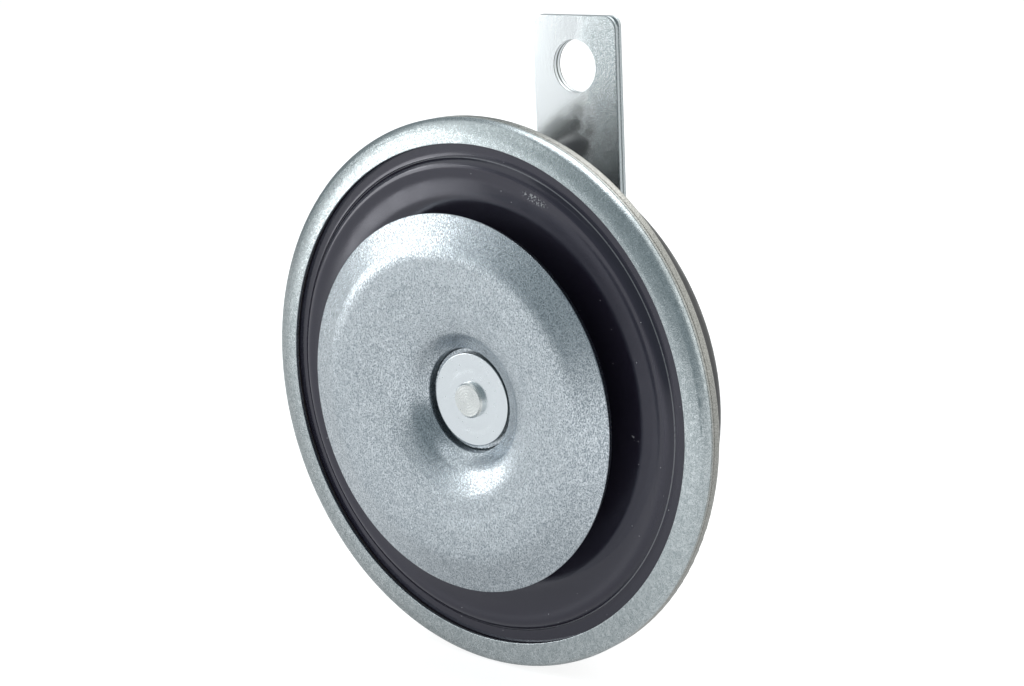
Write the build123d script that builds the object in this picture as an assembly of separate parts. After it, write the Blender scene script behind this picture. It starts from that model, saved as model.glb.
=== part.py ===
"""Electromagnetic disc horn for a car, on a two-leaf mounting strap.

Everything is drawn in the horn's own frame: the horn's axis is Y, y = 0 is the front of the ring's lip, +Y goes
back towards the strap, and +Z runs up the strap. The last section moves the finished pieces so that the origin
is the centre of the strap's bolt hole, at the face that lands on the car. Millimetres.
"""

import os
from math import cos, radians, sin, sqrt

from build123d import *

os.makedirs("parts", exist_ok=True)

# ---- Driving dimensions -------------------------------------------------------------------------------------

# Crimp ring
RIM_OUTER_R = 52.0
LIP_WIDTH = 4.7           # front annulus, from the side wall's face to the lip's edge
RIM_SHEET = 0.8
RIM_CROWN = 0.35          # how far the annulus bulges forward of the lip's edge
CROWN_INSET = 2.8         # where it bulges most, in from the side wall's face
ROLL_WIDTH = 3.4          # rolled edge behind the pan's flange
CROWN_BEND = 6.0
SHOULDER_BEND = 1.4
ROLL_BEND = 1.0
LIP_EDGE_R = 0.15
ROLLER_LINE_SPACING = 0.7 # two fine lines that the crimping roller leaves round the side wall
ROLLER_LINE_WIDTH = 0.22
ROLLER_LINE_DEPTH = 0.06

# Clamped margin, front to back
FRONT_GASKET_T = 0.3
DIAPHRAGM_T = 0.4
REAR_GASKET_T = 0.9
PAN_SHEET = 1.2
MARGIN_GAP = 0.3          # radial room of the clamped pieces inside the ring

# Diaphragm
MARGIN_WIDTH = 6.0        # flat margin, out from the foot of the ridge
RIDGE_FOOT = 1.0          # ridge's foot to its top, if its two slopes met without rounding
RIDGE_HEIGHT = 1.6        # the same top above the flat margin
DIAPHRAGM_HUB_R = 11.0
DIAPHRAGM_DEPTH = 4.7     # hub behind the ridge
HUB_BEND = 6.0
RIDGE_BEND = 1.8
CREASE_BEND = 0.9

# Tone disc
TONE_R = 35.6
TONE_SHEET = 1.5
TONE_EDGE_Y = -5.7
TONE_PLATEAU_Y = -8.1
TONE_BEND_R = 29.0        # where the flat plateau turns into the skirt
TONE_DISH_R = 20.0        # where the plateau falls into the central dish
SKIRT_BEND = 8.0
DISH_MOUTH_BEND = 13.0
POCKET_GAP = 1.1          # pocket's wall round the washer
POCKET_DEPTH = 1.7
POCKET_SLOPE = 0.2
POCKET_BEND = 0.3
TONE_EDGE_R = 0.2         # rolled-over side of the cut edge

# Hub stack and armature
WASHER_R = 8.8
WASHER_T = 1.0
WASHER_EDGE_R = 0.2
WASHER_RING_R = 5.8       # faint ring that the riveting tool leaves
WASHER_RING_WIDTH = 0.9
WASHER_RING_DEPTH = 0.08
HUB_SEAT_Y = -0.2         # front face of the tone disc inside its pocket
SHANK_R = 3.0
SHANK_HEAD_R = 3.35
SHANK_PROUD = 1.05
HEAD_EDGE = 0.35
BACKING_R = 9.0
BACKING_T = 1.0
FLANGE_R = 12.0
FLANGE_T = 2.4
PLUG_R = 7.6
PLUG_DIP = 3.0            # how far the plug dips into the coil
TRAVEL = 0.6              # armature travel before the current is cut
STOP_GAP = 0.3            # left between the plug and the core after that travel

# Pan
FLANGE_WIDTH = 5.3        # flat clamped flange
DISH_TAPER = 2.0          # the dish is this much smaller in radius at its floor
DISH_FLOOR_Y = 17.0       # inner face of the annular floor
POT_TAPER = 1.0
PAN_BACK_Y = 32.8         # outer face of the pot's end, where the strap lands
FLANGE_BEND = 2.0
DISH_BEND = 3.6
POT_TOP_BEND = 1.2
POT_BEND = 2.6

# Magnet
YOKE_LAP = 4.4            # yoke plate past the pot's mouth
YOKE_T = 2.0
YOKE_BORE_GAP = 0.8
CORE_R = 8.0
STUD_TIP = 0.8
bobbin_rOOM = 1.6         # bobbin inside the narrow end of the pot
BOBBIN_WALL = 1.0
BORE_GAP = 0.3            # core in the bobbin's bore
WINDING_INSET = 0.6       # winding below the bobbin's flanges
LEAD_HOLE_R = 1.4
COIL_END_ANGLE = 140.0    # where the winding's end comes out, round the axis

# Contact breaker: a stack of plates on the dish floor, left of the axis
STACK_WALL_GAP = 2.4      # stack to the dish's wall
STACK_YOKE_GAP = 3.4      # stack to the yoke plate
STACK_LENGTH = 7.6
STACK_WIDTH = 10.0
STACK_CORNER_R = 0.8
STACK_RIVET_PITCH = 5.6
STACK_RIVET_R = 1.1
STACK_HEAD_R = 2.2
COLLAR_R = 1.7
REAR_INSULATOR_T = 3.0
SPRING_T = 0.4
ARM_T = 0.8
BRACKET_T = 0.8
MIDDLE_INSULATOR_T = 2.2
FRONT_INSULATOR_T = 1.0
CLAMP_T = 1.0
RIVET_HEAD_T = 0.8
FREE_LENGTH = 2.1         # bare spring between the stack and the arm; the arm swings about its middle
SPRING_LAP = 4.2          # spring under the arm
SPRING_WIDTH = 8.0
PLATE_ROOT = 1.0          # how far a tongue is drawn into the plate that it grows from
TAIL_WIDTH = 3.2          # spring's soldering tail
TAIL_LENGTH = 4.0
SOLDER_INSET = 1.0        # wires on the tail, in from its end
ARM_TIP_GAP = 1.0         # arm's tip to the plug
ARM_WIDTH = 9.0
ARM_TIP_WIDTH = 4.4
ARM_TIP_CORNER_R = 1.2
ARM_RIVET_PITCH = 4.6
ARM_RIVET_R = 0.8
ARM_HEAD_R = 1.3
RIB_WIDTH = 1.2
RIB_HEIGHT = 0.4
RIB_END_GAP = 0.8
CONTACT_LAP_GAP = 1.5     # contact's head to the end of the spring's lap
CONTACT_R = 2.2
CONTACT_SHANK_R = 1.1
CONTACT_TAIL_R = 1.5
MOVING_CONTACT_T = 0.5
TAPER_GAP = 1.2           # the arm starts to taper this far past the contact
BRACKET_WIDTH = 8.0
BRACKET_OVERHANG = 3.0    # bracket's end past the contact's middle
PUSHER_R = 1.5
PUSHER_SHANK_R = 0.75
PUSHER_TAIL_R = 1.2
PUSHER_INSET = 1.8        # pusher's middle from the arm's tip
PUSHER_GAP = 0.1
TAIL_HEIGHT = 0.5         # riveted tails behind the arm
RIVET_GAP = 0.05          # rivets and shanks in their holes

# Adjuster, above the stack
ADJUSTER_OFFSET = 3.2     # towards the axis from the stack's middle
ADJUSTER_Z = 11.0
SCREW_R = 2.5
SCREW_HEAD_R = 3.6
SCREW_HEAD_T = 2.6
SCREW_HEAD_GAP = 0.6
SCREW_HEAD_CHAMFER = 0.4
SCREW_SLOT = 1.0
SLOT_ANGLE = 35.0
EAR_MARGIN = 0.8          # bracket's ear round the screw
BUSH_R = 3.9
BUSH_NECK_R = 3.3
BUSH_FLANGE_T = 1.2
BUSH_TAIL_T = 2.2

# Terminals, below the pot
TERMINAL_YOKE_GAP = 0.85  # insulating plate to the yoke plate
TERMINAL_PITCH = 13.0
BASE_LENGTH = 25.0
BASE_WIDTH = 10.5
BASE_CORNER_R = 2.0
BASE_T = 3.0
INNER_PLATE_INSET = 1.5   # insulating plate inside the base's outline, on each side
INNER_PLATE_CORNER_R = 1.5
INNER_PLATE_T = 1.0
PARTITION_T = 1.2
PARTITION_HEIGHT = 5.0
BLADE_WIDTH = 6.3
BLADE_T = 0.8
BLADE_LENGTH = 8.5
BLADE_NOSE = 1.2
BLADE_HOLE_R = 0.9
BLADE_HOLE_INSET = 4.2
FOOT_LENGTH = 8.4
TERMINAL_RIVET_R = 1.5
TERMINAL_COLLAR_R = 2.5
TERMINAL_HEAD_R = 2.6

# Resistor and inner wires
RESISTOR_R = 1.7
RESISTOR_LENGTH = 9.0
RESISTOR_EDGE_R = 0.5
RESISTOR_DROP = 4.0       # below the end of the spring's tail
WIRE_R = 0.45
WIRE_ROOT = 0.5           # resistor's wires inside its body
WIRE_BEND = 0.7
LEAD_LIFT = 2.5           # coil's lead in front of the yoke plate
LEAD_BEND = 1.2
LEAD_WALL_GAP = 4.4       # long lead's route, in from the dish's wall
LEAD_STEP = 1.0           # same lead behind the spring's tail
LEAD_RISE = 2.4           # same lead in front of the terminal's rivet

# Strap and its hardware
STRAP_WIDTH = 20.0
LEAF_T = 1.0
HOLE_RISE = 5.7           # bolt hole's centre above the ring
HOLE_MARGIN = 9.6         # strap's end above the bolt hole's centre
STRAP_FOOT_Z = -12.0
BOLT_HOLE_R = 5.1
FRONT_CORNER_R = 2.6
REAR_CORNER_R = 1.9
FOOT_CORNER_R = 5.0
LEAF_EDGE_R = 0.2
STUD_R = 3.95
STUD_CLEARANCE = 0.2
FLAT_WASHER_R = 8.0
FLAT_WASHER_T = 1.6
SPRING_WASHER_R = 6.9
SPRING_WASHER_T = 2.0
SPRING_WASHER_SPLIT = 1.2
SPLIT_ANGLE = 60.0
NUT_ACROSS_FLATS = 13.0
NUT_T = 6.5
NUT_CORNER_SLOPE = 0.6    # fall of the turned corners over their width
STUD_PROUD = 3.0

# ---- Places along the axis, worked out from the stack of pieces ---------------------------------------------

margin_y = RIM_SHEET + FRONT_GASKET_T                 # front of the diaphragm's margin
rear_gasket_y = margin_y + DIAPHRAGM_T
flange_y = rear_gasket_y + REAR_GASKET_T              # front of the pan's flange
roll_y = flange_y + PAN_SHEET                         # front of the ring's rolled edge
rim_back_y = roll_y + RIM_SHEET

ridge_y = margin_y - RIDGE_HEIGHT
hub_y = ridge_y + DIAPHRAGM_DEPTH                     # front of the diaphragm's hub
backing_y = hub_y + DIAPHRAGM_T
shoulder_y = backing_y + BACKING_T                    # front of the armature's flange
flange_back_y = shoulder_y + FLANGE_T
washer_y = HUB_SEAT_Y - WASHER_T

yoke_y = DISH_FLOOR_Y - YOKE_T
pot_floor_y = PAN_BACK_Y - PAN_SHEET
dish_back_y = DISH_FLOOR_Y + PAN_SHEET                # rear face of the annular floor
spring_y = DISH_FLOOR_Y - REAR_INSULATOR_T - SPRING_T # front face of the breaker's spring
arm_y = spring_y - ARM_T
bracket_y = spring_y - MIDDLE_INSULATOR_T - BRACKET_T
front_insulator_y = bracket_y - FRONT_INSULATOR_T
clamp_y = front_insulator_y - CLAMP_T
plug_end_y = DISH_FLOOR_Y + PLUG_DIP
core_y = plug_end_y + TRAVEL + STOP_GAP

strap_back_y = PAN_BACK_Y + 2 * LEAF_T
spring_washer_y = strap_back_y + FLAT_WASHER_T
nut_y = spring_washer_y + SPRING_WASHER_T
stud_end_y = nut_y + NUT_T + STUD_PROUD

# ---- Places across the axis, from the ring inwards ----------------------------------------------------------

lip_inner_r = RIM_OUTER_R - LIP_WIDTH
clamped_r = RIM_OUTER_R - RIM_SHEET - MARGIN_GAP      # outer radius of the clamped pieces
crease_r = clamped_r - MARGIN_WIDTH                   # outer foot of the diaphragm's ridge
dish_top_r = clamped_r - FLANGE_WIDTH
dish_r = dish_top_r - DISH_TAPER
stack_left = -(dish_r - PAN_SHEET - STACK_WALL_GAP)
stack_x = stack_left + STACK_LENGTH / 2
stack_right = stack_left + STACK_LENGTH
yoke_r = -stack_right - STACK_YOKE_GAP
pot_top_r = yoke_r - YOKE_LAP
pot_r = pot_top_r - POT_TAPER
bobbin_r = pot_r - PAN_SHEET - bobbin_rOOM
bore_r = CORE_R + BORE_GAP                            # bobbin's bore
lead_r = (bore_r + BOBBIN_WALL + bobbin_r - WINDING_INSET) / 2
pocket_r = WASHER_R + POCKET_GAP

arm_start_x = stack_right + FREE_LENGTH
lap_end_x = arm_start_x + SPRING_LAP
arm_rivet_x = (arm_start_x + lap_end_x) / 2
contact_x = lap_end_x + CONTACT_LAP_GAP + CONTACT_R
taper_x = contact_x + CONTACT_R + TAPER_GAP
arm_tip_x = -(PLUG_R + ARM_TIP_GAP)
pusher_x = arm_tip_x - PUSHER_INSET
tail_z = -(STACK_WIDTH / 2 + TAIL_LENGTH)             # end of the spring's soldering tail

adjuster_x = stack_x + ADJUSTER_OFFSET
ear_half = SCREW_R + EAR_MARGIN
terminal_z = -(yoke_r + TERMINAL_YOKE_GAP + BASE_WIDTH / 2 - INNER_PLATE_INSET)
hole_z = RIM_OUTER_R + HOLE_RISE
strap_top_z = hole_z + HOLE_MARGIN


# ---- Ways of making a piece ---------------------------------------------------------------------------------


def pressed(path, bends, thickness):
    """Round sheet piece: one face of its section as a bent path (radius, y), thickened to the path's left."""
    face_line = FilletPolyline(*path, radius=bends)
    return revolve(make_face(offset(face_line, thickness, side=Side.LEFT)), Axis.Y)


def turned(*outline):
    """Solid of revolution about the horn's axis from a closed outline of (radius, y) points."""
    return revolve(make_face(Polyline(*outline, close=True)), Axis.Y)


def plate(outline, front_y, thickness):
    """Flat piece across the axis: an outline in x and z, from front_y backwards."""
    return extrude(Plane.XZ.offset(-front_y) * outline, amount=-thickness)


def rod(x, z, radius, front_y, back_y):
    """Round pin along the horn's axis."""
    return plate(Pos(x, z) * Circle(radius), front_y, back_y - front_y)


def ring(outer_r, inner_r, front_y, thickness):
    """Flat ring about the horn's axis."""
    return plate(Circle(outer_r) - Circle(inner_r), front_y, thickness)


def front_circle(piece, radius):
    """The circular edge of about this radius that lies furthest forward on a round piece."""
    circles = [edge for edge in piece.edges().filter_by(GeomType.CIRCLE) if abs(edge.radius - radius) < 0.6]
    return min(circles, key=lambda edge: edge.center().Y)


def wire(points, bend):
    """Insulated wire along straight runs joined by bends."""
    path = FilletPolyline(*points, radius=bend)
    return sweep(Plane(path @ 0, z_dir=path % 0) * Circle(WIRE_R), path=path)


# ---- Clamped front: ring, gaskets, diaphragm ----------------------------------------------------------------


def rim_ring():
    """Crimp ring: front lip, crowned annulus, side wall, and an edge rolled in behind the flange."""
    outer_face = [
        (lip_inner_r, 0),
        (RIM_OUTER_R - CROWN_INSET, -RIM_CROWN),
        (RIM_OUTER_R, 0),
        (RIM_OUTER_R, rim_back_y),
        (RIM_OUTER_R - ROLL_WIDTH, rim_back_y),
    ]
    sheet = pressed(outer_face, (CROWN_BEND, SHOULDER_BEND, ROLL_BEND), RIM_SHEET)
    sheet = fillet(front_circle(sheet, lip_inner_r), LIP_EDGE_R)
    for line_y in (SHOULDER_BEND, SHOULDER_BEND + ROLLER_LINE_SPACING):
        sheet -= ring(RIM_OUTER_R, RIM_OUTER_R - ROLLER_LINE_DEPTH, line_y, ROLLER_LINE_WIDTH)
    return sheet


def front_gasket():
    return ring(clamped_r, lip_inner_r + MARGIN_GAP, RIM_SHEET, FRONT_GASKET_T)


def rear_gasket():
    return ring(clamped_r, dish_top_r, rear_gasket_y, REAR_GASKET_T)


def diaphragm():
    """Spring-steel sheet: flat hub, shallow cone, rounded ridge and flat margin."""
    front_face = [
        (SHANK_R + RIVET_GAP, hub_y),
        (DIAPHRAGM_HUB_R, hub_y),
        (crease_r - RIDGE_FOOT, ridge_y),
        (crease_r, margin_y),
        (clamped_r, margin_y),
    ]
    return pressed(front_face, (HUB_BEND, RIDGE_BEND, CREASE_BEND), DIAPHRAGM_T)


# ---- Hub stack: tone disc, washers, armature ----------------------------------------------------------------


def tone_disc():
    """Dished disc: pocket for the washer, central dish, flat plateau and a skirt that slopes back."""
    front_face = [
        (SHANK_R + RIVET_GAP, HUB_SEAT_Y),
        (pocket_r - POCKET_SLOPE, HUB_SEAT_Y),
        (pocket_r, HUB_SEAT_Y - POCKET_DEPTH),
        (TONE_DISH_R, TONE_PLATEAU_Y),
        (TONE_BEND_R, TONE_PLATEAU_Y),
        (TONE_R, TONE_EDGE_Y),
    ]
    disc = pressed(front_face, (POCKET_BEND, POCKET_BEND, DISH_MOUTH_BEND, SKIRT_BEND), TONE_SHEET)
    return fillet(front_circle(disc, TONE_R), TONE_EDGE_R)


def front_washer():
    washer = ring(WASHER_R, SHANK_R + RIVET_GAP, washer_y, WASHER_T)
    washer = fillet(front_circle(washer, WASHER_R), WASHER_EDGE_R)
    tool_ring = ring(
        WASHER_RING_R + WASHER_RING_WIDTH / 2,
        WASHER_RING_R - WASHER_RING_WIDTH / 2,
        washer_y,
        WASHER_RING_DEPTH,
    )
    return washer - tool_ring


def disc_spacer():
    spacer_y = HUB_SEAT_Y + TONE_SHEET
    return ring(BACKING_R, SHANK_R + RIVET_GAP, spacer_y, hub_y - spacer_y)


def backing_washer():
    return ring(BACKING_R, SHANK_R + RIVET_GAP, backing_y, BACKING_T)


def armature():
    """Turned in one: riveted head, shank, flange that pushes the breaker, and the plug inside the coil."""
    head_y = washer_y - SHANK_PROUD
    return turned(
        (0, head_y),
        (SHANK_HEAD_R - HEAD_EDGE, head_y),
        (SHANK_HEAD_R, head_y + HEAD_EDGE),
        (SHANK_HEAD_R, washer_y),
        (SHANK_R, washer_y),
        (SHANK_R, shoulder_y),
        (FLANGE_R, shoulder_y),
        (FLANGE_R, flange_back_y),
        (PLUG_R, flange_back_y),
        (PLUG_R, plug_end_y),
        (0, plug_end_y),
    )


# ---- Pan and magnet -----------------------------------------------------------------------------------------


def at_stack_rivets(shape_2d):
    """The same flat shape at both rivets of the contact stack."""
    return [Pos(stack_x, side * STACK_RIVET_PITCH / 2) * shape_2d for side in (-1, 1)]


def at_terminals(shape_2d):
    """The same flat shape at both terminal rivets."""
    return [Pos(side * TERMINAL_PITCH / 2, terminal_z) * shape_2d for side in (-1, 1)]


def housing_pan():
    """Deep-drawn pan: flange, tapered dish with an annular floor, and the pot that holds the coil."""
    outer_face = [
        (clamped_r, roll_y),
        (dish_top_r, roll_y),
        (dish_r, dish_back_y),
        (pot_top_r, dish_back_y),
        (pot_r, PAN_BACK_Y),
        (STUD_R + STUD_CLEARANCE, PAN_BACK_Y),
    ]
    pan = pressed(outer_face, (FLANGE_BEND, DISH_BEND, POT_TOP_BEND, POT_BEND), PAN_SHEET)
    holes = Sketch() + at_stack_rivets(Circle(STACK_RIVET_R + RIVET_GAP))
    holes += at_terminals(Circle(TERMINAL_COLLAR_R + RIVET_GAP))
    holes += Pos(adjuster_x, ADJUSTER_Z) * Circle(BUSH_NECK_R + RIVET_GAP)
    return pan - plate(holes, DISH_FLOOR_Y, PAN_SHEET)


def pole_core():
    """Iron core on the pot's end, with the threaded stud for the strap."""
    return turned(
        (0, core_y),
        (CORE_R, core_y),
        (CORE_R, pot_floor_y),
        (STUD_R, pot_floor_y),
        (STUD_R, stud_end_y - STUD_TIP),
        (STUD_R - STUD_TIP, stud_end_y),
        (0, stud_end_y),
    )


def round_axis(radius, degrees):
    """Point (x, z) at a radius and an angle round the horn's axis."""
    return radius * cos(radians(degrees)), radius * sin(radians(degrees))


coil_start = round_axis(lead_r, -90)
coil_end = round_axis(lead_r, COIL_END_ANGLE)


def lead_holes(radius):
    return [Pos(*place) * Circle(radius) for place in (coil_start, coil_end)]


def yoke_plate():
    outline = Circle(yoke_r) - Circle(PLUG_R + YOKE_BORE_GAP)
    return plate(outline - lead_holes(LEAD_HOLE_R), yoke_y, YOKE_T)


def coil_bobbin():
    outside = bore_r + BOBBIN_WALL
    bobbin = turned(
        (bore_r, DISH_FLOOR_Y),
        (bobbin_r, DISH_FLOOR_Y),
        (bobbin_r, DISH_FLOOR_Y + BOBBIN_WALL),
        (outside, DISH_FLOOR_Y + BOBBIN_WALL),
        (outside, pot_floor_y - BOBBIN_WALL),
        (bobbin_r, pot_floor_y - BOBBIN_WALL),
        (bobbin_r, pot_floor_y),
        (bore_r, pot_floor_y),
    )
    return bobbin - plate(Sketch() + lead_holes(LEAD_HOLE_R), DISH_FLOOR_Y, BOBBIN_WALL)


def coil_winding():
    length = pot_floor_y - DISH_FLOOR_Y - 2 * BOBBIN_WALL
    return ring(bobbin_r - WINDING_INSET, bore_r + BOBBIN_WALL, DISH_FLOOR_Y + BOBBIN_WALL, length)


# ---- Contact breaker ----------------------------------------------------------------------------------------


def stack_layer(front_y, thickness, hole_r):
    outline = Pos(stack_x, 0) * RectangleRounded(STACK_LENGTH, STACK_WIDTH, STACK_CORNER_R)
    return plate(outline - at_stack_rivets(Circle(hole_r)), front_y, thickness)


def collars(front_y, thickness):
    """Insulating collars that keep the rivets clear of the live plates."""
    collar = Circle(COLLAR_R) - Circle(STACK_RIVET_R + RIVET_GAP)
    return plate(Sketch() + at_stack_rivets(collar), front_y, thickness)


def insulator_rear():
    collar_height = SPRING_T / 2
    body = stack_layer(spring_y + SPRING_T, REAR_INSULATOR_T, STACK_RIVET_R + RIVET_GAP)
    return body + collars(spring_y + SPRING_T - collar_height, collar_height)


def insulator_middle():
    body = stack_layer(bracket_y + BRACKET_T, MIDDLE_INSULATOR_T, STACK_RIVET_R + RIVET_GAP)
    return body + collars(bracket_y + BRACKET_T / 2, BRACKET_T / 2)


def insulator_front():
    body = stack_layer(front_insulator_y, FRONT_INSULATOR_T, STACK_RIVET_R + RIVET_GAP)
    return body + collars(bracket_y, BRACKET_T / 2)


def clamp_plate():
    return stack_layer(clamp_y, CLAMP_T, STACK_RIVET_R + RIVET_GAP)


def breaker_rivets():
    rivets = []
    for side in (-1, 1):
        z = side * STACK_RIVET_PITCH / 2
        shank = rod(stack_x, z, STACK_RIVET_R, clamp_y, dish_back_y)
        front_head = rod(stack_x, z, STACK_HEAD_R, clamp_y - RIVET_HEAD_T, clamp_y)
        rear_head = rod(stack_x, z, STACK_HEAD_R, dish_back_y, dish_back_y + RIVET_HEAD_T)
        rivets.append(shank + front_head + rear_head)
    return Compound(children=rivets)


def span(x_from, x_to, z_from, z_to):
    """Rectangle given by its sides."""
    return Pos((x_from + x_to) / 2, (z_from + z_to) / 2) * Rectangle(x_to - x_from, z_to - z_from)


def breaker_spring():
    """Flat spring: clamped end with a soldering tail, free length, and the lap that is riveted to the arm."""
    outline = span(stack_left, stack_right, -STACK_WIDTH / 2, STACK_WIDTH / 2)
    outline += span(stack_right - PLATE_ROOT, lap_end_x, -SPRING_WIDTH / 2, SPRING_WIDTH / 2)
    outline += span(stack_x - TAIL_WIDTH / 2, stack_x + TAIL_WIDTH / 2, tail_z, PLATE_ROOT - STACK_WIDTH / 2)
    outline -= at_stack_rivets(Circle(COLLAR_R + RIVET_GAP))
    outline -= at_arm_rivets(Circle(ARM_RIVET_R + RIVET_GAP))
    return plate(outline, spring_y, SPRING_T)


def at_arm_rivets(shape_2d):
    return [Pos(arm_rivet_x, side * ARM_RIVET_PITCH / 2) * shape_2d for side in (-1, 1)]


def breaker_arm():
    """Stiff tapered arm, pressed with a rib along it."""
    half = ARM_WIDTH / 2
    tip = ARM_TIP_WIDTH / 2
    sides = [
        (arm_start_x, -half),
        (taper_x, -half),
        (arm_tip_x, -tip),
        (arm_tip_x, tip),
        (taper_x, half),
        (arm_start_x, half),
    ]
    outline = make_face(Polyline(*sides, close=True))
    outline = fillet(outline.vertices().sort_by(Axis.X)[-2:], ARM_TIP_CORNER_R)
    outline -= at_arm_rivets(Circle(ARM_RIVET_R + RIVET_GAP))
    outline -= Pos(contact_x, 0) * Circle(CONTACT_SHANK_R + RIVET_GAP)
    outline -= Pos(pusher_x, 0) * Circle(PUSHER_SHANK_R + RIVET_GAP)
    arm = plate(outline, arm_y, ARM_T)
    rib_start = contact_x + CONTACT_R + RIB_END_GAP
    rib_end = pusher_x - PUSHER_R - RIB_END_GAP
    rib = SlotOverall(rib_end - rib_start, RIB_WIDTH)
    return arm + plate(Pos((rib_start + rib_end) / 2, 0) * rib, arm_y - RIB_HEIGHT, RIB_HEIGHT)


def arm_rivets():
    rivets = []
    for side in (-1, 1):
        z = side * ARM_RIVET_PITCH / 2
        shank = rod(arm_rivet_x, z, ARM_RIVET_R, arm_y - TAIL_HEIGHT, spring_y + SPRING_T + TAIL_HEIGHT)
        front_head = rod(arm_rivet_x, z, ARM_HEAD_R, arm_y - TAIL_HEIGHT, arm_y)
        tail_y = spring_y + SPRING_T
        rear_head = rod(arm_rivet_x, z, ARM_HEAD_R, tail_y, tail_y + TAIL_HEIGHT)
        rivets.append(shank + front_head + rear_head)
    return Compound(children=rivets)


def moving_contact():
    """Contact rivet: its head faces forward, its tail is set behind the arm."""
    head = rod(contact_x, 0, CONTACT_R, arm_y - MOVING_CONTACT_T, arm_y)
    shank = rod(contact_x, 0, CONTACT_SHANK_R, arm_y, arm_y + ARM_T)
    tail = rod(contact_x, 0, CONTACT_TAIL_R, arm_y + ARM_T, arm_y + ARM_T + TAIL_HEIGHT)
    return head + shank + tail


def contact_pusher():
    """Insulating pin on the arm's tip, under the armature's flange."""
    pin = rod(pusher_x, 0, PUSHER_R, flange_back_y + PUSHER_GAP, arm_y)
    shank = rod(pusher_x, 0, PUSHER_SHANK_R, arm_y, arm_y + ARM_T)
    tail = rod(pusher_x, 0, PUSHER_TAIL_R, arm_y + ARM_T, arm_y + ARM_T + TAIL_HEIGHT)
    return pin + shank + tail


def fixed_contact_bracket():
    """Rigid bracket over the arm; the adjusting screw bears on its upper ear."""
    outline = span(stack_left, stack_right, -STACK_WIDTH / 2, STACK_WIDTH / 2)
    bracket_end_x = contact_x + BRACKET_OVERHANG
    outline += span(stack_right - PLATE_ROOT, bracket_end_x, -BRACKET_WIDTH / 2, BRACKET_WIDTH / 2)
    outline += span(adjuster_x - ear_half, adjuster_x + ear_half, 0, ADJUSTER_Z + ear_half)
    outline -= at_stack_rivets(Circle(COLLAR_R + RIVET_GAP))
    outline -= Pos(contact_x, 0) * Circle(CONTACT_SHANK_R + RIVET_GAP)
    return plate(outline, bracket_y, BRACKET_T)


def fixed_contact():
    head_y = bracket_y + BRACKET_T
    head = rod(contact_x, 0, CONTACT_R, head_y, arm_y - MOVING_CONTACT_T)
    shank = rod(contact_x, 0, CONTACT_SHANK_R, bracket_y, head_y)
    tail = rod(contact_x, 0, CONTACT_TAIL_R, bracket_y - TAIL_HEIGHT, bracket_y)
    return head + shank + tail


# ---- Adjuster -----------------------------------------------------------------------------------------------

bush_back_y = dish_back_y + BUSH_TAIL_T


def adjuster_bush():
    """Threaded bush: flange inside the pan, neck through the floor."""
    flange = rod(adjuster_x, ADJUSTER_Z, BUSH_R, DISH_FLOOR_Y - BUSH_FLANGE_T, DISH_FLOOR_Y)
    neck = rod(adjuster_x, ADJUSTER_Z, BUSH_NECK_R, DISH_FLOOR_Y, bush_back_y)
    bore = rod(adjuster_x, ADJUSTER_Z, SCREW_R + RIVET_GAP, DISH_FLOOR_Y - BUSH_FLANGE_T, bush_back_y)
    return flange + neck - bore


def adjusting_screw():
    """Slotted screw that bears on the bracket's ear; its head is outside the pan."""
    head_y = bush_back_y + SCREW_HEAD_GAP
    shank = rod(adjuster_x, ADJUSTER_Z, SCREW_R, bracket_y + BRACKET_T, head_y)
    head = rod(adjuster_x, ADJUSTER_Z, SCREW_HEAD_R, head_y, head_y + SCREW_HEAD_T)
    head = chamfer(head.edges().group_by(Axis.Y)[-1], SCREW_HEAD_CHAMFER)
    slot = Pos(adjuster_x, ADJUSTER_Z) * Rectangle(3 * SCREW_HEAD_R, SCREW_SLOT, rotation=SLOT_ANGLE)
    return shank + head - plate(slot, head_y + SCREW_HEAD_T / 2, SCREW_HEAD_T)


# ---- Terminals ----------------------------------------------------------------------------------------------

base_back_y = dish_back_y + BASE_T
inner_plate_y = DISH_FLOOR_Y - INNER_PLATE_T


def terminal_base():
    """Moulded block outside the pan, with collars through the floor and a partition between the blades."""
    outline = Pos(0, terminal_z) * RectangleRounded(BASE_LENGTH, BASE_WIDTH, BASE_CORNER_R)
    base = plate(outline, dish_back_y, BASE_T)
    base += plate(Sketch() + at_terminals(Circle(TERMINAL_COLLAR_R)), DISH_FLOOR_Y, PAN_SHEET)
    base += plate(Pos(0, terminal_z) * Rectangle(PARTITION_T, BASE_WIDTH), base_back_y, PARTITION_HEIGHT)
    bores = Sketch() + at_terminals(Circle(TERMINAL_RIVET_R + RIVET_GAP))
    return base - plate(bores, DISH_FLOOR_Y, PAN_SHEET + BASE_T)


def terminal_insulator():
    length = BASE_LENGTH - 2 * INNER_PLATE_INSET
    width = BASE_WIDTH - 2 * INNER_PLATE_INSET
    outline = Pos(0, terminal_z) * RectangleRounded(length, width, INNER_PLATE_CORNER_R)
    outline -= at_terminals(Circle(TERMINAL_RIVET_R + RIVET_GAP))
    return plate(outline, inner_plate_y, INNER_PLATE_T)


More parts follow.
